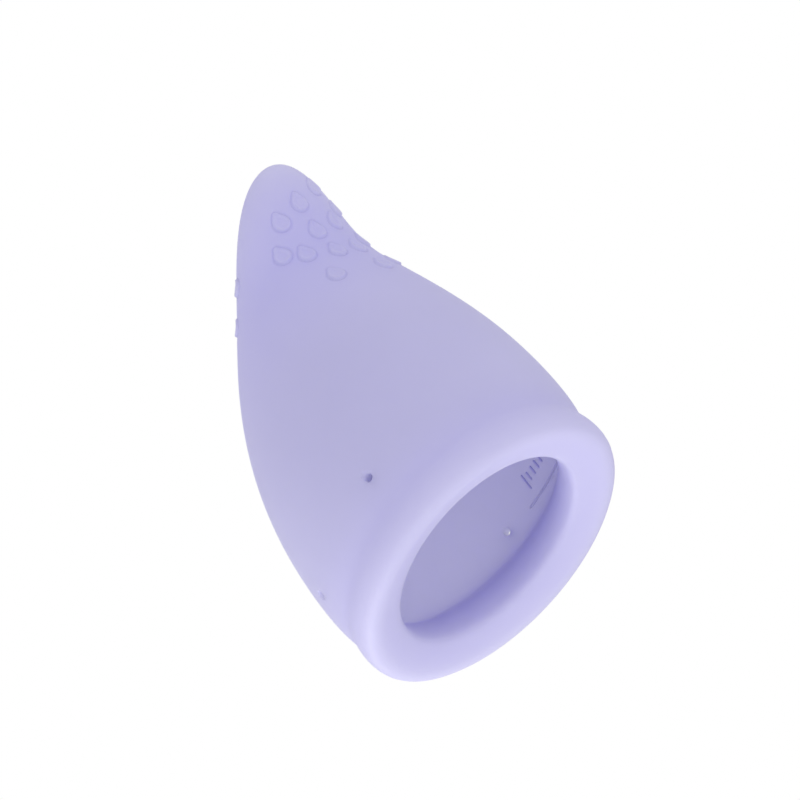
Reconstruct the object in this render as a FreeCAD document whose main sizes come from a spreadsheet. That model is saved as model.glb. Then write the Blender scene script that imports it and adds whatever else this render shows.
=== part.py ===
"""Menstrual cup: one silicone moulding, modelled as the zones it is made of.

Frame, in millimetres: the cup stands on its rim. The origin is the centre of the
rim's flat face, +Z runs from the rim to the grip tip, and +X is the side that the
tip leans to. The XZ plane is the cup's mirror plane.
"""
import FreeCAD, Part
import Sketcher
import math
import os

# Driving dimensions: spreadsheet alias, value in millimetres or degrees, meaning.
DIMENSIONS = [
    ("rim_radius", 22.0, "outside of the rim bead"),
    ("bore_radius", 15.3, "inside of the rim bead"),
    ("rim_height", 5.2, "height of the rim bead"),
    ("bevel_width", 3.9, "radial width of the bevel inside the flat face"),
    ("bevel_height", 1.4, "height of that bevel"),
    ("foot_fillet", 1.5, "rounding outside the flat face"),
    ("lip_fillet", 0.6, "rounding between the bevel and the bore"),
    ("crease_fillet", 0.3, "rounding at the crease outside the bead"),
    ("cup_height", 59.4, "height of the tip's last section"),
    ("crease_radius", 21.7, "half width of the skin at the crease above the bead"),
    ("shoulder_height", 8.0, "height of the section between the crease and the belly"),
    ("belly_height", 13.0, "height of the widest section"),
    ("belly_radius", 22.6, "half width of the widest section"),
    ("swell_power", 3.0, "how early the skin swells from the crease to the belly"),
    ("taper_height", 48.0, "height of the last section before the tip"),
    ("taper_loss", 11.4, "how much less half width that section has than the widest"),
    ("taper_power", 2.1, "how late the taper comes on"),
    ("slimming", 1.1, "how much less half length than half width a section has at the tip's height"),
    ("tip_radius", 5.7, "half width of the tip's last section"),
    ("tip_lean", 10.0, "straight part of the tip's lean along X"),
    ("tip_curl", 15.4, "late part of the tip's lean along X"),
    ("curl_power", 5.0, "how late the curl comes on"),
    ("wall_thickness", 2.1, "thickness of the bowl's wall"),
    ("opening_height", 4.8, "height over which the bore opens out to the wall"),
    ("dome_start", 20.0, "height where the wall starts to thicken into the dome"),
    ("dome_wall", 3.9, "how much thicker the wall's side is at the top of the cavity"),
    ("dome_power", 4.0, "how late that thickening comes on"),
    ("cavity_top", 37.5, "height of the cavity's last section"),
    ("band_top", 17.0, "top of the vented band"),
    ("wall_top", 29.0, "top of the plain wall"),
    ("bowl_top", 40.0, "end of the bowl, where the flexible neck starts"),
    ("neck_top", 45.0, "end of the neck, where the grip starts"),
    ("slab_size", 80.0, "side of the square slabs that divide the moulding"),
    ("vent_radius", 0.55, "radius of a vent"),
    ("mark_relief", 0.25, "how far the measuring marks stand off the inside wall"),
    ("mark_width", 0.35, "width of the fill line and of a tick"),
    ("mark_tilt", 6.5, "slope of the marks, down towards +X"),
    ("line_height", 10.7, "height of the middle of the fill line"),
    ("line_length", 12.0, "length of the fill line"),
    ("line_centre", -1.4, "middle of the fill line along X"),
    ("tick_start", -3.9, "first short tick along X"),
    ("tick_pitch", 1.15, "distance between ticks along X"),
    ("tick_gap", 2.4, "from the fill line up to a short tick"),
    ("tick_length", 1.5, "length of a short tick"),
    ("long_tick_gap", 1.6, "from the fill line up to the long tick"),
    ("long_tick_length", 2.7, "length of the long tick"),
    ("tick_slant", 15.0, "slant of a tick from the vertical"),
    ("drop_relief", 0.3, "how far the grip drops stand off the grip"),
    ("drop_radius", 1.3, "radius of a drop's round end"),
    ("drop_point", 0.5, "radius of a drop's narrow end"),
    ("drop_length", 3.2, "length of a drop from end to end"),
]

# The four vents: heading round Z from +X in degrees, and height.
VENTS = [
    (-53.0, 9.8),
    (126.0, 12.2),
    (-106.0, 10.4),
    (74.0, 11.0),
]

# Columns of drops, from the top one down: Y and Z of the top drop's round end, the step
# along Y, the step down and the number of drops.
FRONT_COLUMNS = [
    (-6.6, 46.0, 0.0, 0.0, 1),
    (-4.2, 50.0, 0.3, 6.0, 3),
    (-0.3, 51.4, 0.3, 4.4, 3),
    (4.0, 53.6, 0.2, 5.4, 4),
    (6.5, 51.0, 1.0, 5.7, 3),
]
BACK_COLUMNS = [
    (-3.6, 50.5, -0.6, 5.0, 2),
    (0.0, 53.5, 0.0, 5.5, 3),
    (3.6, 50.5, 0.6, 5.0, 2),
]
# The drops that sit on both sides: (X, Z).
SIDE_DROPS = [(15.0, 50.0), (11.0, 46.5)]

TAPER_ROWS = 5
OPENING_ROWS = 4
CAVITY_ROWS = 4
SHORT_TICK_COUNT = 5
POLES_AROUND = 16


def fill_sheet(doc):
    """Write every driving dimension and vent into one spreadsheet."""
    sheet = doc.addObject("Spreadsheet::Sheet", "sizes")
    rows = list(DIMENSIONS)
    for index, (heading, height) in enumerate(VENTS, start=1):
        rows.append((f"vent_heading_{index}", heading, f"vent {index}: heading"))
        rows.append((f"vent_height_{index}", height, f"vent {index}: height"))
    for row, (alias, value, meaning) in enumerate(rows, start=1):
        sheet.set(f"A{row}", meaning)
        sheet.set(f"B{row}", str(value))
        sheet.setAlias(f"B{row}", alias)
    doc.recompute()
    return sheet


def section_centre(sheet, height):
    """Centre of a section along X: a straight lean, and a curl that comes on late."""
    rim = float(sheet.rim_height)
    share = (height - rim) / (float(sheet.cup_height) - rim)
    return float(sheet.tip_lean) * share + float(sheet.tip_curl) * share ** float(sheet.curl_power)


def half_width(sheet, height):
    """Half width of the skin along Y: a swell up to the belly, then a late taper."""
    belly, widest = float(sheet.belly_height), float(sheet.belly_radius)
    if height < belly:
        below = (belly - height) / (belly - float(sheet.rim_height))
        return widest - (widest - float(sheet.crease_radius)) * below ** float(sheet.swell_power)
    above = (height - belly) / (float(sheet.taper_height) - belly)
    return widest - float(sheet.taper_loss) * above ** float(sheet.taper_power)


def skin_section(sheet, height):
    """Station of the skin: height, centre along X, half length along X, half width along Y."""
    rim = float(sheet.rim_height)
    share = (height - rim) / (float(sheet.cup_height) - rim)
    width = half_width(sheet, height)
    return [height, section_centre(sheet, height), width - float(sheet.slimming) * share, width]


def cavity_section(sheet, height):
    """Station of the cavity: the bore opens out to the skin less the wall."""
    bore = float(sheet.bore_radius)
    opened = min(1.0, (height - float(sheet.rim_height)) / float(sheet.opening_height))
    opened = opened * opened * (3.0 - 2.0 * opened)
    dome = float(sheet.dome_start)
    share = max(0.0, (height - dome) / (float(sheet.cavity_top) - dome))
    wall = float(sheet.wall_thickness) + float(sheet.dome_wall) * share ** float(sheet.dome_power)
    height, centre, length, width = skin_section(sheet, height)
    return [height, centre, bore + (length - wall - bore) * opened, bore + (width - wall - bore) * opened]


def between(bottom, top, count):
    """Evenly spaced heights, both ends included."""
    return [bottom + (top - bottom) * index / count for index in range(count + 1)]


def skin_stations(sheet):
    """The skin from the crease to the tip, closed at the tip's height."""
    heights = [float(sheet.rim_height), float(sheet.shoulder_height)]
    heights += between(float(sheet.belly_height), float(sheet.taper_height), TAPER_ROWS)
    top, radius = float(sheet.cup_height), float(sheet.tip_radius)
    centre = section_centre(sheet, top)
    return [skin_section(sheet, height) for height in heights] + [
        [top, centre, radius, radius],
        [top, centre, 0.0, 0.0],
    ]


def cavity_stations(sheet):
    """The cavity from the bead to its dome, closed at its last section's height."""
    rim, top = float(sheet.rim_height), float(sheet.cavity_top)
    heights = between(rim, rim + float(sheet.opening_height), OPENING_ROWS)
    heights += between(float(sheet.belly_height), top, CAVITY_ROWS)
    stations = [cavity_section(sheet, height) for height in heights]
    return stations + [[top, section_centre(sheet, top), 0.0, 0.0]]


def column_places(columns):
    """Where the drops of several columns sit."""
    places = []
    for across, top, sidestep, pitch, count in columns:
        places += [(across + sidestep * index, top - pitch * index) for index in range(count)]
    return places


def grown(stations, offset):
    """Move the stations outward by an offset, or inward by a negative one."""
    rim, closed = stations[0], stations[-1]
    result = [[rim[0], rim[1], rim[2] + offset, rim[3] + offset]]
    for height, centre, length, width in stations[1:-1]:
        result.append([height, centre, length + offset, width + offset])
    result[-1][0] += offset
    result.append([closed[0] + offset, closed[1], 0.0, 0.0])
    return result


def uniform_knots(pole_count, degree):
    """Knots and multiplicities of a clamped uniform B-spline."""
    spans = pole_count - degree
    knots = [span / spans for span in range(spans + 1)]
    multiplicities = [degree + 1] + [1] * (spans - 1) + [degree + 1]
    return knots, multiplicities


def domed_solid(stations):
    """Closed solid whose horizontal sections are ellipses, flat at the first station."""
    degree = 3
    step = 2.0 * math.pi / POLES_AROUND
    reach = 6.0 / (4.0 + 2.0 * math.cos(step))
    poles = []
    for corner in range(POLES_AROUND):
        along, across = math.cos(corner * step), math.sin(corner * step)
        poles.append([
            FreeCAD.Vector(centre + reach * length * along, reach * width * across, height)
            for height, centre, length, width in stations
        ])
    knots, multiplicities = uniform_knots(len(stations), degree)
    around_knots = [corner / POLES_AROUND for corner in range(POLES_AROUND + 1)]
    around_multiplicities = [1] * (POLES_AROUND + 1)
    surface = Part.BSplineSurface()
    surface.buildFromPolesMultsKnots(
        poles, around_multiplicities, multiplicities, around_knots, knots, True, False, degree, degree
    )
    side = surface.toShape()
    base_height = stations[0][0]
    base_edge = next(edge for edge in side.Edges if abs(edge.BoundBox.ZMax - base_height) < 1e-3)
    base = Part.Face(Part.Wire([base_edge.reversed()]))
    return Part.Solid(Part.Shell([side, base]))


def add_shape(doc, name, shape):
    """Add a free-form helper solid."""
    helper = doc.addObject("Part::Feature", name)
    helper.Shape = shape
    helper.Placement = FreeCAD.Placement()
    return helper


def add_slab(doc, name, bottom, top):
    """Square slab between two heights that are spreadsheet aliases."""
    slab = doc.addObject("Part::Box", name)
    slab.setExpression("Length", "sizes.slab_size")
    slab.setExpression("Width", "sizes.slab_size")
    slab.setExpression("Height", f"sizes.{top} - sizes.{bottom}")
    slab.setExpression("Placement.Base.x", "-sizes.slab_size / 2")
    slab.setExpression("Placement.Base.y", "-sizes.slab_size / 2")
    slab.setExpression("Placement.Base.z", f"sizes.{bottom}")
    return slab


def add_boolean(doc, kind, name, base, tool):
    """Two-operand boolean: kind is Part::Cut or Part::Common."""
    result = doc.addObject(kind, name)
    result.Base = base
    result.Tool = tool
    return result


def add_named(part, label):
    """Give a finished sub-part its label and its placement."""
    part.Label = label
    part.Placement = FreeCAD.Placement()
    return part


def ring_edges(shape, radius, height):
    """Names of the circular edges with this radius at this height."""
    names = []
    for index, edge in enumerate(shape.Edges, start=1):
        if not isinstance(edge.Curve, Part.Circle):
            continue
        if abs(edge.Curve.Radius - radius) < 1e-4 and abs(edge.Curve.Center.z - height) < 1e-4:
            names.append(f"Edge{index}")
    return names


def build_rim(doc, sheet):
    """Rim bead: a padded ring, bevelled inside its flat face and rounded elsewhere."""
    body = doc.addObject("PartDesign::Body", "RimBody")
    sketch = body.newObject("Sketcher::SketchObject", "RimSketch")
    plane = next(item for item in body.Origin.OriginFeatures if item.Role == "XY_Plane")
    sketch.AttachmentSupport = [(plane, "")]
    sketch.MapMode = "FlatFace"
    for alias in ("rim_radius", "bore_radius"):
        circle = Part.Circle(FreeCAD.Vector(), FreeCAD.Vector(0, 0, 1), float(getattr(sheet, alias)))
        index = sketch.addGeometry(circle, False)
        sketch.addConstraint(Sketcher.Constraint("Coincident", index, 3, -1, 1))
        constraint = sketch.addConstraint(Sketcher.Constraint("Radius", index, circle.Radius))
        sketch.setExpression(f"Constraints[{constraint}]", f"sizes.{alias}")
    pad = body.newObject("PartDesign::Pad", "RimPad")
    pad.Profile = sketch
    pad.setExpression("Length", "sizes.rim_height")
    doc.recompute()
    outside, inside = float(sheet.rim_radius), float(sheet.bore_radius)
    top = float(sheet.rim_height)
    bevel = body.newObject("PartDesign::Chamfer", "RimBevel")
    bevel.Base = (pad, ring_edges(pad.Shape, inside, 0.0))
    bevel.ChamferType = "Two distances"
    bevel.setExpression("Size", "sizes.bevel_height")
    bevel.setExpression("Size2", "sizes.bevel_width")
    doc.recompute()
    roundings = [
        ("foot_fillet", outside, 0.0),
        ("lip_fillet", inside, float(sheet.bevel_height)),
        ("crease_fillet", outside, top),
    ]
    base = bevel
    for alias, radius, height in roundings:
        fillet = body.newObject("PartDesign::Fillet", alias.title().replace("_", ""))
        fillet.Base = (base, ring_edges(base.Shape, radius, height))
        fillet.setExpression("Radius", f"sizes.{alias}")
        doc.recompute()
        base = fillet
    return add_named(body, "rim_bead")


def build_vents(doc, sheet):
    """Four level radial drills, in two opposite pairs."""
    drills = []
    lay_down = FreeCAD.Rotation(FreeCAD.Vector(0, 1, 0), 90.0)
    for index in range(1, len(VENTS) + 1):
        drill = doc.addObject("Part::Cylinder", f"VentDrill{index}")
        drill.setExpression("Radius", "sizes.vent_radius")
        drill.setExpression("Height", "sizes.slab_size / 2")
        heading = float(getattr(sheet, f"vent_heading_{index}"))
        turn = FreeCAD.Rotation(FreeCAD.Vector(0, 0, 1), heading)
        drill.Placement = FreeCAD.Placement(FreeCAD.Vector(), turn * lay_down)
        drill.setExpression("Placement.Base.z", f"sizes.vent_height_{index}")
        drills.append(drill)
    vents = doc.addObject("Part::MultiFuse", "VentDrills")
    vents.Shapes = drills
    return vents


def drop_prism(sheet, centre, sideways, reach):
    """Prism with a drop outline: a round end at the centre and a narrow one above it."""
    radius, point = float(sheet.drop_radius), float(sheet.drop_point)
    rise = float(sheet.drop_length) - radius - point
    touch = math.asin((radius - point) / rise)
    upward = FreeCAD.Vector(0.0, 0.0, 1.0)
    narrow = centre + upward * rise
    right = sideways * math.cos(touch) + upward * math.sin(touch)
    left = sideways * -math.cos(touch) + upward * math.sin(touch)
    outline = Part.Wire([
        Part.Arc(centre + left * radius, centre - upward * radius, centre + right * radius).toShape(),
        Part.LineSegment(centre + right * radius, narrow + right * point).toShape(),
        Part.Arc(narrow + right * point, narrow + upward * point, narrow + left * point).toShape(),
        Part.LineSegment(narrow + left * point, centre + left * radius).toShape(),
    ])
    return Part.Face(outline).extrude(reach)


def stamp_faces(doc, sheet, name, places, towards):
    """Drop prisms for the front or the back: towards is 1 for +X and -1 for -X."""
    reach = FreeCAD.Vector(towards * float(sheet.slab_size) / 2.0, 0.0, 0.0)
    across = FreeCAD.Vector(0.0, 1.0, 0.0)
    prisms = []
    for aside, height in places:
        centre = FreeCAD.Vector(section_centre(sheet, height), aside, height)
        prisms.append(drop_prism(sheet, centre, across, reach))
    return add_shape(doc, name, Part.makeCompound(prisms))


def stamp_sides(doc, sheet, name, places):
    """Drop prisms for both sides of the grip."""
    along = FreeCAD.Vector(1.0, 0.0, 0.0)
    prisms = []
    for ahead, height in places:
        centre = FreeCAD.Vector(ahead, 0.0, height)
        for towards in (1.0, -1.0):
            reach = FreeCAD.Vector(0.0, towards * float(sheet.slab_size) / 2.0, 0.0)
            prisms.append(drop_prism(sheet, centre, along, reach))
    return add_shape(doc, name, Part.makeCompound(prisms))


def build_drops(doc, label, relief, slab, stamps):
    """The drops of one zone, cut from the thin layer that stands off the skin."""
    layer = add_boolean(doc, "Part::Common", f"{label}_layer", relief, slab)
    return add_named(add_boolean(doc, "Part::Common", label, layer, stamps), label)


def build_fill_line(doc, sheet, film):
    """Raised arc on the inside wall, on the +Y side."""
    tilt = math.radians(float(sheet.mark_tilt))
    strip = doc.addObject("Part::Box", "LineStrip")
    strip.setExpression("Length", "sizes.line_length")
    strip.setExpression("Width", "sizes.slab_size / 2")
    strip.setExpression("Height", "sizes.mark_width")
    turn = FreeCAD.Rotation(FreeCAD.Vector(0, 1, 0), math.degrees(tilt))
    strip.Placement = FreeCAD.Placement(FreeCAD.Vector(), turn)
    level, fall = math.cos(tilt) / 2.0, math.sin(tilt) / 2.0
    strip.setExpression("Placement.Base.x", f"sizes.line_centre - {level} * sizes.line_length")
    strip.setExpression("Placement.Base.z", f"sizes.line_height + {fall} * sizes.line_length")
    return add_named(add_boolean(doc, "Part::Common", "fill_line", film, strip), "fill_line")


def build_ticks(doc, sheet, film):
    """One long and several short raised ticks above the fill line."""
    slope = math.tan(math.radians(float(sheet.mark_tilt)))
    slant = FreeCAD.Rotation(FreeCAD.Vector(0, 1, 0), float(sheet.tick_slant))
    bars = []
    for index in range(SHORT_TICK_COUNT + 1):
        length, gap = ("long_tick_length", "long_tick_gap") if index == 0 else ("tick_length", "tick_gap")
        place = f"(sizes.tick_start + {index - 1} * sizes.tick_pitch)"
        bar = doc.addObject("Part::Box", f"TickBar{index + 1}")
        bar.setExpression("Length", "sizes.mark_width")
        bar.setExpression("Width", "sizes.slab_size / 2")
        bar.setExpression("Height", f"sizes.{length}")
        bar.Placement = FreeCAD.Placement(FreeCAD.Vector(), slant)
        bar.setExpression("Placement.Base.x", place)
        bar.setExpression(
            "Placement.Base.z", f"sizes.line_height + sizes.{gap} - {slope} * ({place} - sizes.line_centre)"
        )
        bars.append(bar)
    comb = doc.addObject("Part::MultiFuse", "TickBars")
    comb.Shapes = bars
    return add_named(add_boolean(doc, "Part::Common", "fill_ticks", film, comb), "fill_ticks")


def build_cup(doc, sheet):
    """Every zone of the moulding, from the rim up."""
    outside, inside = skin_stations(sheet), cavity_stations(sheet)
    skin = add_shape(doc, "Skin", domed_solid(outside))
    cavity = add_shape(doc, "Cavity", domed_solid(inside))
    raised = add_shape(doc, "RaisedSkin", domed_solid(grown(outside, float(sheet.drop_relief))))
    lined = add_shape(doc, "LinedCavity", domed_solid(grown(inside, -float(sheet.mark_relief))))

    shell = add_boolean(doc, "Part::Cut", "Shell", skin, cavity)
    drilled = add_boolean(doc, "Part::Cut", "DrilledShell", shell, build_vents(doc, sheet))
    film = add_boolean(doc, "Part::Cut", "CavityFilm", cavity, lined)
    relief = add_boolean(doc, "Part::Cut", "SkinRelief", raised, skin)

    zones = [
        ("vent_band", drilled, "rim_height", "band_top"),
        ("bowl_wall", shell, "band_top", "wall_top"),
        ("bowl_dome", shell, "wall_top", "bowl_top"),
        ("flex_neck", skin, "bowl_top", "neck_top"),
        ("grip_tip", skin, "neck_top", "slab_size"),
    ]
    parts = [build_rim(doc, sheet)]
    slabs = {}
    for label, source, bottom, top in zones:
        slabs[label] = add_slab(doc, f"{label}_slab", bottom, top)
        parts.append(add_named(add_boolean(doc, "Part::Common", label, source, slabs[label]), label))

    parts.append(build_fill_line(doc, sheet, film))
    parts.append(build_ticks(doc, sheet, film))
    front = stamp_faces(doc, sheet, "FrontStamps", column_places(FRONT_COLUMNS), 1.0)
    back = stamp_faces(doc, sheet, "BackStamps", column_places(BACK_COLUMNS), -1.0)
    sides = stamp_sides(doc, sheet, "SideStamps", SIDE_DROPS)
    parts.append(build_drops(doc, "dome_drops", relief, slabs["bowl_dome"], front))
    parts.append(build_drops(doc, "neck_drops_front", relief, slabs["flex_neck"], front))
    parts.append(build_drops(doc, "neck_drops_back", relief, slabs["flex_neck"], back))
    parts.append(build_drops(doc, "grip_drops_front", relief, slabs["grip_tip"], front))
    parts.append(build_drops(doc, "grip_drops_back", relief, slabs["grip_tip"], back))
    parts.append(build_drops(doc, "grip_drops_side", relief, slabs["grip_tip"], sides))
    return parts


def check_document(doc, parts):
    """Stop before anything is written if an object failed or a solid is bad."""
    for item in doc.Objects:
        if "Invalid" in item.State or "Error" in item.State:
            raise RuntimeError(f"{item.Name} failed: {item.State}")
    for part in parts:
        if part.Shape.isNull() or not part.Shape.isValid() or not part.Shape.Solids:
            raise RuntimeError(f"{part.Label} is not a valid solid")


def main():
    doc = FreeCAD.newDocument("menstrual_cup")
    sheet = fill_sheet(doc)
    parts = build_cup(doc, sheet)
    doc.recompute()
    check_document(doc, parts)
    os.makedirs("parts", exist_ok=True)
    for part in parts:
        part.Shape.exportStep(os.path.join("parts", f"{part.Label}.step"))
        box = part.Shape.optimalBoundingBox(False, False)
        print(f"{part.Label:18s} volume {part.Shape.Volume:9.1f}  solids {len(part.Shape.Solids):2d}"
              f"  x {box.XMin:6.1f}..{box.XMax:5.1f}  y {box.YMin:6.1f}..{box.YMax:5.1f}"
              f"  z {box.ZMin:5.1f}..{box.ZMax:5.1f}")


main()
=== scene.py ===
"""Lavender silicone cup: a rounded rim, a thin slanted bowl and a curved grip tip."""

import math

import bmesh
import bpy
import numpy as np
from mathutils import Matrix, Vector


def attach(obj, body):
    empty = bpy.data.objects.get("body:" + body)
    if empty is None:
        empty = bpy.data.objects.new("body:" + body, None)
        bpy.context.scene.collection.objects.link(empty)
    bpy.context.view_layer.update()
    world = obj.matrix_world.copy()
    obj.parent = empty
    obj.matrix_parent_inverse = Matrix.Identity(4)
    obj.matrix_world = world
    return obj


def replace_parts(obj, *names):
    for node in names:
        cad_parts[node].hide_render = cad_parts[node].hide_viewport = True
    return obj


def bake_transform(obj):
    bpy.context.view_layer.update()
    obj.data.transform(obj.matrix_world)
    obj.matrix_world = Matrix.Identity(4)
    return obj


MM = 0.001
PROFILE_SAMPLES = 6001

# Sizes of the cup, in millimetres and degrees, as in the CAD model.
BORE_RADIUS = 15.3
RIM_HEIGHT = 5.2
CUP_HEIGHT = 59.4
CREASE_RADIUS = 21.7
SHOULDER_HEIGHT = 8.0
BELLY_HEIGHT = 13.0
BELLY_RADIUS = 22.6
SWELL_POWER = 3.0
TAPER_HEIGHT = 48.0
TAPER_LOSS = 11.4
TAPER_POWER = 2.1
TAPER_ROWS = 5
SLIMMING = 1.1
TIP_RADIUS = 5.7
TIP_LEAN = 10.0
TIP_CURL = 15.4
CURL_POWER = 5.0
WALL_THICKNESS = 2.1
OPENING_HEIGHT = 4.8
OPENING_ROWS = 4
DOME_START = 20.0
DOME_WALL = 3.9
DOME_POWER = 4.0
CAVITY_TOP = 37.5
CAVITY_ROWS = 4

# The rolled rim, round about the Z axis: (height, radius) from the bore, round the lip,
# along the bevel and the flat face, and up the outside to the crease.
BEAD_STATIONS = [
    (4.5, 15.3),
    (3.5, 15.2),
    (2.6, 15.2),
    (1.9, 15.3),
    (1.55, 15.65),
    (1.35, 16.3),
    (1.0, 17.4),
    (0.55, 18.7),
    (0.1, 19.9),
    (0.0, 20.9),
    (0.5, 21.9),
    (2.1, 22.25),
    (3.9, 22.1),
    (5.3, 21.6),
]

# The four vents: heading round Z from +X in degrees, and height.
VENTS = [
    (-53.0, 9.8),
    (126.0, 12.2),
    (-106.0, 10.4),
    (74.0, 11.0),
]
VENT_RADIUS = 0.55

DROP_RADIUS = 1.3
DROP_POINT = 0.5
DROP_LENGTH = 3.2
DROP_RELIEF = 0.3
DROP_DISH = 0.18
DROP_CREASE = 0.10
DROP_FADE = 0.55
DROP_REACH = 4.0
DROPS_FROM = 33.0
# Columns of drops, from the top one down: Y and Z of the top drop's round end, the step
# along Y, the step down and the number of drops.
FRONT_COLUMNS = [
    (-6.6, 46.0, 0.0, 0.0, 1),
    (-4.2, 50.0, 0.3, 6.0, 3),
    (-0.3, 51.4, 0.3, 4.4, 3),
    (4.0, 53.6, 0.2, 5.4, 4),
    (6.5, 51.0, 1.0, 5.7, 3),
]
BACK_COLUMNS = [
    (-3.6, 50.5, -0.6, 5.0, 2),
    (0.0, 53.5, 0.0, 5.5, 3),
    (3.6, 50.5, 0.6, 5.0, 2),
]
# The drops that sit on both sides: (X, Z).
SIDE_DROPS = [(15.0, 50.0), (11.0, 46.5)]

MARK_WIDTH = 0.35
MARK_RELIEF = 0.25
MARK_TILT = 6.5
LINE_HEIGHT = 10.7
LINE_LENGTH = 12.0
LINE_CENTRE = -1.4
TICK_START = -3.9
TICK_PITCH = 1.15
TICK_GAP = 2.4
TICK_LENGTH = 1.5
LONG_TICK_GAP = 1.6
LONG_TICK_LENGTH = 2.7
TICK_SLANT = 15.0
MARK_SINK = 0.04
SHORT_TICK_COUNT = 5

SILICONE_COLOUR = (0.67, 0.652, 0.97)
# Painted shade: share of the silicone colour kept along each drop's outline, standing in for the crease's
# shade.
OUTLINE_PAINTED_SHADE = 0.90
# Painted highlight: the fill line is lighter than the silicone so that its thin ridge reads lit.
LINE_PAINTED_HIGHLIGHT_COLOUR = (0.82, 0.80, 0.98)
# Painted shade: the ticks are darker than the silicone so that they read as shadowed strokes.
TICK_PAINTED_SHADE_COLOUR = (0.64, 0.62, 0.94)

AMBIENT_COLOUR = (0.94, 0.93, 1.08)
AMBIENT_STRENGTH = 0.65
BACKDROP_STRENGTH = 1.0

CAMERA_AZIMUTH = 45.0
CAMERA_ELEVATION = -33.0
CAMERA_ROLL = -48.0
CAMERA_DISTANCE = 288.0
CAMERA_AIM_HEIGHT = 20.0
CAMERA_OFFSET = (0.8, -10.1)
CAMERA_LENS = 92.5


def basis(count, samples, degree=3):
    """Weights of a clamped uniform cubic B-spline: one row per sample, one column per pole."""
    inner = np.linspace(0.0, 1.0, count - degree + 1)
    knots = np.concatenate([np.zeros(degree), inner, np.ones(degree)])
    place = np.clip(np.asarray(samples, float), 0.0, 1.0 - 1e-12)
    weights = np.zeros((len(place), len(knots) - 1))
    for column in range(len(knots) - 1):
        weights[:, column] = (knots[column] <= place) & (place < knots[column + 1])
    for order in range(1, degree + 1):
        raised = np.zeros((len(place), len(knots) - 1 - order))
        for column in range(raised.shape[1]):
            below = knots[column + order] - knots[column]
            above = knots[column + order + 1] - knots[column + 1]
            if below > 0.0:
                raised[:, column] += (place - knots[column]) / below * weights[:, column]
            if above > 0.0:
                raised[:, column] += (knots[column + order + 1] - place) / above * weights[:, column + 1]
        weights = raised
    return weights


def station_centre(height):
    """Centre of a station along X: a straight lean, and a curl that comes on late."""
    share = (height - RIM_HEIGHT) / (CUP_HEIGHT - RIM_HEIGHT)
    return TIP_LEAN * share + TIP_CURL * share**CURL_POWER


def skin_station(height):
    """Station of the skin: height, centre along X, half length along X, half width along Y."""
    if height < BELLY_HEIGHT:
        below = (BELLY_HEIGHT - height) / (BELLY_HEIGHT - RIM_HEIGHT)
        width = BELLY_RADIUS - (BELLY_RADIUS - CREASE_RADIUS) * below**SWELL_POWER
    else:
        above = (height - BELLY_HEIGHT) / (TAPER_HEIGHT - BELLY_HEIGHT)
        width = BELLY_RADIUS - TAPER_LOSS * above**TAPER_POWER
    slimmer = SLIMMING * (height - RIM_HEIGHT) / (CUP_HEIGHT - RIM_HEIGHT)
    return height, station_centre(height), width - slimmer, width


def cavity_station(height):
    """Station of the cavity: the bore opens out to the skin less the wall."""
    height, centre, length, width = skin_station(height)
    dome = max(0.0, (height - DOME_START) / (CAVITY_TOP - DOME_START))
    wall = WALL_THICKNESS + DOME_WALL * dome**DOME_POWER
    opened = smoothstep(0.0, 1.0, (height - RIM_HEIGHT) / OPENING_HEIGHT)
    length, width = (BORE_RADIUS + (half - wall - BORE_RADIUS) * opened for half in (length, width))
    return height, centre, length, width


def cup_stations():
    """Every station, from the top of the cavity, round the rim, to the tip."""
    bead = [(height, 0.0, radius, radius) for height, radius in BEAD_STATIONS]
    opening = np.linspace(RIM_HEIGHT, RIM_HEIGHT + OPENING_HEIGHT, OPENING_ROWS + 1)[1:]
    bowl = np.linspace(BELLY_HEIGHT, CAVITY_TOP, CAVITY_ROWS + 1)
    taper = np.linspace(BELLY_HEIGHT, TAPER_HEIGHT, TAPER_ROWS + 1)
    inside = [cavity_station(height) for height in [*opening, *bowl]]
    inside.append((CAVITY_TOP, station_centre(CAVITY_TOP), 0.0, 0.0))
    outside = [skin_station(height) for height in [SHOULDER_HEIGHT, *taper]]
    outside += [(CUP_HEIGHT, station_centre(CUP_HEIGHT), radius, radius) for radius in (TIP_RADIUS, 0.0)]
    return np.array(inside[::-1] + bead + outside)


def dense_profile():
    """The profile finely sampled, and the index of its lowest sample on the rim."""
    stations = cup_stations()
    dense = basis(len(stations), np.linspace(0.0, 1.0, PROFILE_SAMPLES)) @ stations
    return dense, int(np.argmin(dense[:, 0]))


def section_rows(fine_from, fine_step, coarse_step):
    """Sections along the whole profile, evenly spaced along its longer side line.

    Outside and above fine_from the rows are fine_step apart, elsewhere coarse_step.
    """
    dense, lowest = dense_profile()
    back = np.stack([dense[:, 1] - dense[:, 2], dense[:, 0]], axis=1)
    side = np.stack([dense[:, 3], dense[:, 0]], axis=1)
    move = np.maximum(
        np.linalg.norm(np.diff(back, axis=0), axis=1), np.linalg.norm(np.diff(side, axis=0), axis=1)
    )
    outside = np.arange(len(move)) > lowest
    step = np.where(outside & (dense[:-1, 0] > fine_from), fine_step, coarse_step)
    travelled = np.concatenate([[0.0], np.cumsum(move / step)])
    wanted = np.linspace(0.0, travelled[-1], int(round(travelled[-1])) + 1)
    chosen = np.interp(wanted, travelled, np.linspace(0.0, 1.0, len(dense)))
    stations = cup_stations()
    return basis(len(stations), chosen) @ stations


def skin_section(height):
    """Centre and half lengths of the outside section at a height."""
    dense, lowest = dense_profile()
    outside = dense[lowest:]
    return [np.interp(height, outside[:, 0], outside[:, column]) for column in (1, 2, 3)]


def cavity_section(height):
    """Centre and half lengths of the inside section at a height."""
    dense, lowest = dense_profile()
    inside = dense[lowest::-1]
    return [np.interp(height, inside[:, 0], inside[:, column]) for column in (1, 2, 3)]


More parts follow.
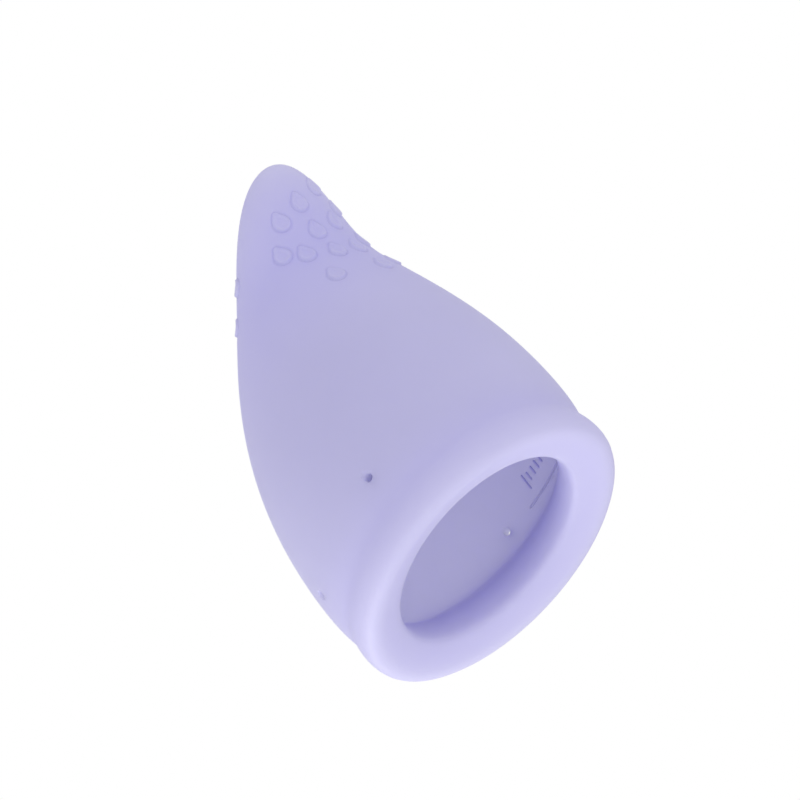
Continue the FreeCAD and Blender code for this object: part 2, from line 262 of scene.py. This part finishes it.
def grid_points(rows, around):
    """Points of the profile's rings, as rows x around x 3."""
    angle = np.linspace(0.0, 2.0 * math.pi, around, endpoint=False)
    height, centre, length, width = (rows[:, column, None] for column in range(4))
    along = centre + length * np.cos(angle)
    across = width * np.sin(angle)
    return np.stack([along, across, height + 0.0 * along], axis=-1)


def grid_normals(points):
    """Unit normals of the ring grid, pointing out of the silicone."""
    round_way = np.roll(points, -1, axis=1) - np.roll(points, 1, axis=1)
    profile_way = np.gradient(points, axis=0)
    normals = np.cross(round_way, profile_way)
    return normals / (np.linalg.norm(normals, axis=-1, keepdims=True) + 1e-12)


def smoothstep(low, high, value):
    """Eased share of the way from low to high, held at 0 and 1 outside them."""
    share = np.clip((value - low) / (high - low), 0.0, 1.0)
    return share * share * (3.0 - 2.0 * share)


def drop_depth(sideways, upward):
    """Distance inside a drop's outline: a round end, and a narrow round end above it."""
    rise = DROP_LENGTH - DROP_RADIUS - DROP_POINT
    lean = (DROP_RADIUS - DROP_POINT) / rise
    level = math.sqrt(1.0 - lean * lean)
    sideways = np.abs(sideways)
    along = level * upward - lean * sideways
    round_end = np.hypot(sideways, upward) - DROP_RADIUS
    point = np.hypot(sideways, upward - rise) - DROP_POINT
    flank = level * sideways + lean * upward - DROP_RADIUS
    return -np.where(along < 0.0, round_end, np.where(along > level * rise, point, flank))


def column_places(columns):
    """Where the drops of several columns sit."""
    places = []
    for across, top, sidestep, pitch, count in columns:
        places += [(across + sidestep * index, top - pitch * index) for index in range(count)]
    return places


def drop_centres():
    """Where the round end of every drop sits on the skin."""
    centres = []
    for columns, towards in ((FRONT_COLUMNS, 1.0), (BACK_COLUMNS, -1.0)):
        for across, height in column_places(columns):
            centre, length, width = skin_section(height)
            along = centre + towards * length * math.sqrt(1.0 - (across / width) ** 2)
            centres.append(np.array([along, across, height]))
    for along, height in SIDE_DROPS:
        centre, length, width = skin_section(height)
        across = width * math.sqrt(1.0 - ((along - centre) / length) ** 2)
        centres += [np.array([along, across, height]), np.array([along, -across, height])]
    return centres


def drop_relief(points, normals):
    """How far each point of the skin stands out for the drops, and how near an outline it is, which sets
    the painted shade along the outlines.
    """
    relief = np.zeros(points.shape[:2])
    outline = np.zeros(points.shape[:2])
    for centre in drop_centres():
        distance = np.linalg.norm(points - centre, axis=-1)
        nearest = np.unravel_index(np.argmin(distance), distance.shape)
        origin, normal = points[nearest], normals[nearest]
        upward = np.array([0.0, 0.0, 1.0]) - normal[2] * normal
        upward /= np.linalg.norm(upward)
        sideways = np.cross(upward, normal)
        near = np.where((distance < DROP_REACH) & (normals @ normal > 0.5))
        offset = points[near] - origin
        rise = offset @ upward
        depth = drop_depth(offset @ sideways, rise)
        fade = 1.0 - DROP_FADE * smoothstep(-0.3, DROP_LENGTH - DROP_RADIUS, rise)
        step = DROP_RELIEF * fade * smoothstep(-0.05, 0.18, depth)
        dish = DROP_DISH * smoothstep(0.22, 0.80, depth)
        crease = DROP_CREASE * np.exp(-(((depth + 0.14) / 0.12) ** 2))
        relief[near] += step - dish - crease
        outline[near] = np.maximum(outline[near], np.exp(-(((depth + 0.06) / 0.13) ** 2)))
    return relief, outline


def grid_mesh(name, points):
    """Closed mesh from ring rows; the first and the last row are single points."""
    around = points.shape[1]
    rings = points[1:-1]
    count = len(rings)
    vertices = np.concatenate([points[0, :1], rings.reshape(-1, 3), points[-1, :1]]) * MM
    faces = []
    last = 1 + count * around
    for column in range(around):
        after = (column + 1) % around
        faces.append((0, 1 + after, 1 + column))
        top = 1 + (count - 1) * around
        faces.append((last, top + column, top + after))
    for row in range(count - 1):
        start = 1 + row * around
        for column in range(around):
            after = (column + 1) % around
            faces.append((start + column, start + after, start + around + after, start + around + column))
    mesh = bpy.data.meshes.new(name)
    mesh.from_pydata(vertices.tolist(), [], faces)
    mesh.update()
    return mesh


def add_object(name, mesh):
    """Object in the scene that shows a mesh."""
    piece = bpy.data.objects.new(name, mesh)
    bpy.context.scene.collection.objects.link(piece)
    return piece


def shade_smooth(mesh):
    """Smooth shading on every face."""
    mesh.polygons.foreach_set("use_smooth", [True] * len(mesh.polygons))
    mesh.update()


def vent_drill(heading, height):
    """Round drill with a flared end at the skin, lying along one vent."""
    centre, length, width = skin_section(height)
    direction = np.array([math.cos(heading), math.sin(heading)])
    stretch = math.hypot(direction[0] / length, direction[1] / width)
    wall = 1.0 / stretch + centre * direction[0]
    profile = [
        (wall - 5.0, VENT_RADIUS + 0.25),
        (wall - 2.3, VENT_RADIUS + 0.1),
        (wall - 1.9, VENT_RADIUS),
        (wall - 0.45, VENT_RADIUS),
        (wall - 0.2, VENT_RADIUS + 0.06),
        (wall - 0.05, VENT_RADIUS + 0.18),
        (wall + 0.05, VENT_RADIUS + 0.4),
        (wall + 1.0, VENT_RADIUS + 0.5),
    ]
    sides = 32
    bm = bmesh.new()
    rings = []
    turn = Matrix.Rotation(heading, 3, "Z")
    for reach, radius in profile:
        ring = []
        for side in range(sides):
            angle = 2.0 * math.pi * side / sides
            place = Vector((reach, radius * math.cos(angle), radius * math.sin(angle)))
            place = turn @ place + Vector((0.0, 0.0, height))
            ring.append(bm.verts.new(place * MM))
        rings.append(ring)
    for lower, upper in zip(rings, rings[1:]):
        for side in range(sides):
            after = (side + 1) % sides
            bm.faces.new((lower[side], lower[after], upper[after], upper[side]))
    bm.faces.new(rings[0][::-1])
    bm.faces.new(rings[-1])
    bmesh.ops.recalc_face_normals(bm, faces=bm.faces)
    mesh = bpy.data.meshes.new("drill")
    bm.to_mesh(mesh)
    bm.free()
    return add_object("drill", mesh)


def drilled(piece, drills):
    """Cut the drills out of a piece and keep the result as its mesh."""
    for drill in drills:
        cut = piece.modifiers.new("vent", "BOOLEAN")
        cut.operation = "DIFFERENCE"
        cut.solver = "EXACT"
        cut.object = drill
    result = bpy.data.meshes.new_from_object(piece.evaluated_get(bpy.context.evaluated_depsgraph_get()))
    piece.modifiers.clear()
    piece.data = result
    for drill in drills:
        bpy.data.objects.remove(drill)


def build_skin(material):
    """The whole moulding as one seamless skin, inside and outside."""
    rows = section_rows(fine_from=DROPS_FROM, fine_step=0.16, coarse_step=0.55)
    points = grid_points(rows, around=480)
    normals = grid_normals(points)
    outside = np.arange(len(rows)) > int(np.argmin(rows[:, 0]))
    dropped = (outside & (rows[:, 0] > DROPS_FROM))[:, None]
    relief, outline = drop_relief(points, normals)
    points = points + normals * (relief * dropped)[..., None]
    mesh = grid_mesh("silicone_skin", points)
    # Painted shade: this attribute darkens the colour along the drop outlines.
    painted_shade = mesh.attributes.new("outline", "FLOAT", "POINT")
    painted_shade.data.foreach_set("value", np.concatenate([[0.0], (outline * dropped)[1:-1].ravel(), [0.0]]))
    skin = add_object("silicone_skin", mesh)
    bpy.context.view_layer.update()
    drilled(skin, [vent_drill(math.radians(heading), height) for heading, height in VENTS])
    shade_smooth(skin.data)
    skin.data.materials.clear()
    skin.data.materials.append(material)
    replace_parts(skin, "rim_bead", "vent_band", "bowl_wall", "bowl_dome", "flex_neck", "grip_tip")
    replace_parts(skin, "dome_drops", "neck_drops_front", "neck_drops_back")
    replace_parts(skin, "grip_drops_front", "grip_drops_back", "grip_drops_side")
    return skin


def wall_point(along, height):
    """Point and inward normal of the cavity wall on the +Y side."""
    centre, length, width = cavity_section(height)
    across = width * math.sqrt(1.0 - ((along - centre) / length) ** 2)
    normal = Vector((-(along - centre) / length**2, -across / width**2, 0.0)).normalized()
    return Vector((along, across, height)), normal


def build_rib(name, route, material):
    """Raised half-round rib along a route of (X, Z) on the cavity wall."""
    sides = 8
    places = [wall_point(along, height) for along, height in route]
    last = len(places) - 1
    bm = bmesh.new()
    rings = []
    for index, (place, normal) in enumerate(places):
        tangent = (places[min(index + 1, last)][0] - places[max(index - 1, 0)][0]).normalized()
        sideways = normal.cross(tangent).normalized()
        end_gap = min((place - places[0][0]).length, (place - places[last][0]).length)
        swell = math.sqrt(max(0.04, 1.0 - max(0.0, 1.0 - end_gap / (MARK_WIDTH / 2.0)) ** 2))
        ring = []
        for side in range(sides + 1):
            angle = math.pi * side / sides
            out = sideways * (MARK_WIDTH / 2.0 * math.cos(angle)) + normal * (MARK_RELIEF * math.sin(angle))
            ring.append(bm.verts.new((place + out * swell - normal * MARK_SINK) * MM))
        rings.append(ring)
    for lower, upper in zip(rings, rings[1:]):
        for side in range(sides):
            bm.faces.new((lower[side], lower[side + 1], upper[side + 1], upper[side]))
        bm.faces.new((lower[sides], lower[0], upper[0], upper[sides]))
    bm.faces.new(rings[0])
    bm.faces.new(rings[-1][::-1])
    bmesh.ops.recalc_face_normals(bm, faces=bm.faces)
    mesh = bpy.data.meshes.new(name)
    bm.to_mesh(mesh)
    bm.free()
    shade_smooth(mesh)
    mesh.materials.append(material)
    piece = add_object(name, mesh)
    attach(piece, "bowl")
    return piece


def build_marks(line_painted_highlight_material, tick_painted_shade_material):
    """Fill line, and one long and several short slanted ticks above it, in lavender lightened for a painted
    highlight on the line and darkened for painted shade on the ticks.
    """
    tilt, slant = math.radians(MARK_TILT), math.radians(TICK_SLANT)
    line = [
        (LINE_CENTRE + reach * math.cos(tilt), LINE_HEIGHT - reach * math.sin(tilt))
        for reach in np.linspace(-LINE_LENGTH / 2.0, LINE_LENGTH / 2.0, 97)
    ]
    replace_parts(build_rib("fill_line_rib", line, line_painted_highlight_material), "fill_line")
    for index in range(SHORT_TICK_COUNT + 1):
        length, gap = (LONG_TICK_LENGTH, LONG_TICK_GAP) if index == 0 else (TICK_LENGTH, TICK_GAP)
        foot = TICK_START + (index - 1) * TICK_PITCH
        level = LINE_HEIGHT + gap - math.tan(tilt) * (foot - LINE_CENTRE)
        tick = [
            (foot + reach * math.sin(slant), level + reach * math.cos(slant))
            for reach in np.linspace(0.0, length, 25)
        ]
        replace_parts(build_rib(f"tick_{index + 1}", tick, tick_painted_shade_material), "fill_ticks")


def silicone_material():
    """Matte lavender silicone: soft scatter, slight mottling, painted shade along the drop outlines and a
    fine moulded grain.
    """
    material = bpy.data.materials.new("lavender_silicone")
    material.use_nodes = True
    nodes, links = material.node_tree.nodes, material.node_tree.links
    shader = nodes["Principled BSDF"]
    shader.inputs["IOR"].default_value = 1.41
    shader.inputs["Specular IOR Level"].default_value = 0.35
    shader.inputs["Subsurface Weight"].default_value = 0.6
    shader.inputs["Subsurface Radius"].default_value = (1.0, 1.0, 1.0)
    shader.inputs["Subsurface Scale"].default_value = 0.012
    place = nodes.new("ShaderNodeTexCoord")

    mottle = nodes.new("ShaderNodeTexNoise")
    mottle.inputs["Scale"].default_value = 90.0
    mottle.inputs["Detail"].default_value = 3.0
    links.new(place.outputs["Object"], mottle.inputs["Vector"])
    tint = nodes.new("ShaderNodeMix")
    tint.data_type = "RGBA"
    tint.inputs["A"].default_value = (*[channel * 0.975 for channel in SILICONE_COLOUR], 1.0)
    tint.inputs["B"].default_value = (*[channel * 1.025 for channel in SILICONE_COLOUR], 1.0)
    links.new(mottle.outputs["Fac"], tint.inputs["Factor"])

    # Painted shade: darker lavender along the drop outlines, where the creases would shade the skin.
    outline = nodes.new("ShaderNodeAttribute")
    outline.attribute_name = "outline"
    painted_shade = nodes.new("ShaderNodeMix")
    painted_shade.data_type = "RGBA"
    painted_shade.inputs["B"].default_value = (*[channel * OUTLINE_PAINTED_SHADE for channel in SILICONE_COLOUR], 1.0)
    links.new(outline.outputs["Fac"], painted_shade.inputs["Factor"])
    links.new(tint.outputs["Result"], painted_shade.inputs["A"])
    links.new(painted_shade.outputs["Result"], shader.inputs["Base Color"])

    wear = nodes.new("ShaderNodeMapRange")
    wear.inputs["To Min"].default_value = 0.38
    wear.inputs["To Max"].default_value = 0.50
    links.new(mottle.outputs["Fac"], wear.inputs["Value"])
    links.new(wear.outputs["Result"], shader.inputs["Roughness"])

    grain = nodes.new("ShaderNodeTexNoise")
    grain.inputs["Scale"].default_value = 2500.0
    grain.inputs["Detail"].default_value = 4.0
    links.new(place.outputs["Object"], grain.inputs["Vector"])
    bump = nodes.new("ShaderNodeBump")
    bump.inputs["Strength"].default_value = 0.05
    bump.inputs["Distance"].default_value = 0.00005
    links.new(grain.outputs["Fac"], bump.inputs["Height"])
    links.new(bump.outputs["Normal"], shader.inputs["Normal"])
    return material


def mark_material(name, colour):
    """Lavender without scatter, for the thin ribs on the inside wall; the fill line gets a lighter colour
    as a painted highlight, the ticks a darker one as painted shade.
    """
    material = bpy.data.materials.new(name)
    material.use_nodes = True
    shader = material.node_tree.nodes["Principled BSDF"]
    shader.inputs["Base Color"].default_value = (*colour, 1.0)
    shader.inputs["Roughness"].default_value = 0.45
    shader.inputs["IOR"].default_value = 1.41
    shader.inputs["Specular IOR Level"].default_value = 0.35
    return material


def floor_material():
    """Pale matte floor that is seen from above only."""
    material = bpy.data.materials.new("studio_floor")
    material.use_nodes = True
    nodes, links = material.node_tree.nodes, material.node_tree.links
    shader = nodes["Principled BSDF"]
    shader.inputs["Base Color"].default_value = (0.9, 0.9, 0.9, 1.0)
    shader.inputs["Roughness"].default_value = 0.9
    shader.inputs["Specular IOR Level"].default_value = 0.1
    side = nodes.new("ShaderNodeNewGeometry")
    clear = nodes.new("ShaderNodeBsdfTransparent")
    mix = nodes.new("ShaderNodeMixShader")
    links.new(side.outputs["Backfacing"], mix.inputs["Fac"])
    links.new(shader.outputs["BSDF"], mix.inputs[1])
    links.new(clear.outputs["BSDF"], mix.inputs[2])
    links.new(mix.outputs["Shader"], nodes["Material Output"].inputs["Surface"])
    return material


def build_floor():
    bpy.ops.mesh.primitive_plane_add(size=4.0, location=(0.0, 0.0, -0.0001))
    floor = bpy.context.object
    floor.name = "studio_floor"
    floor.data.materials.append(floor_material())
    floor.visible_shadow = False
    floor.visible_diffuse = False
    floor.visible_glossy = False


def camera_axes():
    """Backward, right and up directions of the camera."""
    azimuth, elevation = math.radians(CAMERA_AZIMUTH), math.radians(CAMERA_ELEVATION)
    roll = math.radians(CAMERA_ROLL)
    flat = math.cos(elevation)
    backward = Vector((math.sin(azimuth) * flat, -math.cos(azimuth) * flat, math.sin(elevation)))
    level = Vector((0.0, 0.0, 1.0)).cross(backward).normalized()
    upright = backward.cross(level)
    right = level * math.cos(roll) + upright * math.sin(roll)
    up = upright * math.cos(roll) - level * math.sin(roll)
    return backward, right, up


def build_camera():
    backward, right, up = camera_axes()
    camera = bpy.data.objects.new("camera", bpy.data.cameras.new("camera"))
    bpy.context.scene.collection.objects.link(camera)
    place = Vector((0.0, 0.0, CAMERA_AIM_HEIGHT)) + backward * CAMERA_DISTANCE
    place -= right * CAMERA_OFFSET[0] + up * CAMERA_OFFSET[1]
    turn = Matrix((right, up, backward)).transposed().to_4x4()
    camera.matrix_world = Matrix.Translation(place * MM) @ turn
    camera.data.lens = CAMERA_LENS
    camera.data.sensor_width = 36.0
    camera.data.clip_start = 0.01
    camera.data.clip_end = 10.0
    bpy.context.scene.camera = camera


def build_area_light(name, direction, distance, size, power):
    """Square soft light that faces the middle of the cup."""
    light = bpy.data.lights.new(name, "AREA")
    light.size = size
    light.energy = power
    lamp = bpy.data.objects.new(name, light)
    lamp.visible_camera = False
    bpy.context.scene.collection.objects.link(lamp)
    aim = Vector((0.0, 0.0, 0.03))
    towards = Vector(direction).normalized()
    lamp.location = aim + towards * distance
    lamp.rotation_euler = towards.to_track_quat("Z", "Y").to_euler()


def build_studio():
    """Even ambient light with a white backdrop, and three soft lamps clear of the floor."""
    world = bpy.data.worlds.new("studio")
    bpy.context.scene.world = world
    world.use_nodes = True
    nodes, links = world.node_tree.nodes, world.node_tree.links
    ambient = nodes["Background"]
    ambient.inputs["Color"].default_value = (*AMBIENT_COLOUR, 1.0)
    ambient.inputs["Strength"].default_value = AMBIENT_STRENGTH
    backdrop = nodes.new("ShaderNodeBackground")
    backdrop.inputs["Color"].default_value = (1.0, 1.0, 1.0, 1.0)
    backdrop.inputs["Strength"].default_value = BACKDROP_STRENGTH
    rays = nodes.new("ShaderNodeLightPath")
    mix = nodes.new("ShaderNodeMixShader")
    links.new(rays.outputs["Is Camera Ray"], mix.inputs["Fac"])
    links.new(ambient.outputs["Background"], mix.inputs[1])
    links.new(backdrop.outputs["Background"], mix.inputs[2])
    links.new(mix.outputs["Shader"], nodes["World Output"].inputs["Surface"])
    bpy.context.scene.view_settings.view_transform = "Standard"
    build_area_light("key", (-0.80, -0.40, -0.50), 0.5, 0.46, 1.0)
    build_area_light("fill", (0.30, -0.45, -0.84), 0.5, 0.3, 0.3)
    build_area_light("top", (0.70, 0.35, 0.60), 0.5, 0.4, 0.15)


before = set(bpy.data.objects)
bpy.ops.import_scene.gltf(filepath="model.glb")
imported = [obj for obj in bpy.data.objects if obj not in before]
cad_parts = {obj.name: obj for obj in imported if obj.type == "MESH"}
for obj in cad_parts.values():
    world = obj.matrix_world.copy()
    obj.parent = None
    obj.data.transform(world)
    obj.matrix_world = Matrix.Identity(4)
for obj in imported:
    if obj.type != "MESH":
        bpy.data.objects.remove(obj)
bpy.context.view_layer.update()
silicone = silicone_material()
cup = build_skin(silicone)
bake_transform(cup)
build_marks(mark_material("lavender_line_painted_highlight", LINE_PAINTED_HIGHLIGHT_COLOUR), mark_material("lavender_ticks_painted_shade", TICK_PAINTED_SHADE_COLOUR))
build_floor()
build_camera()
build_studio()
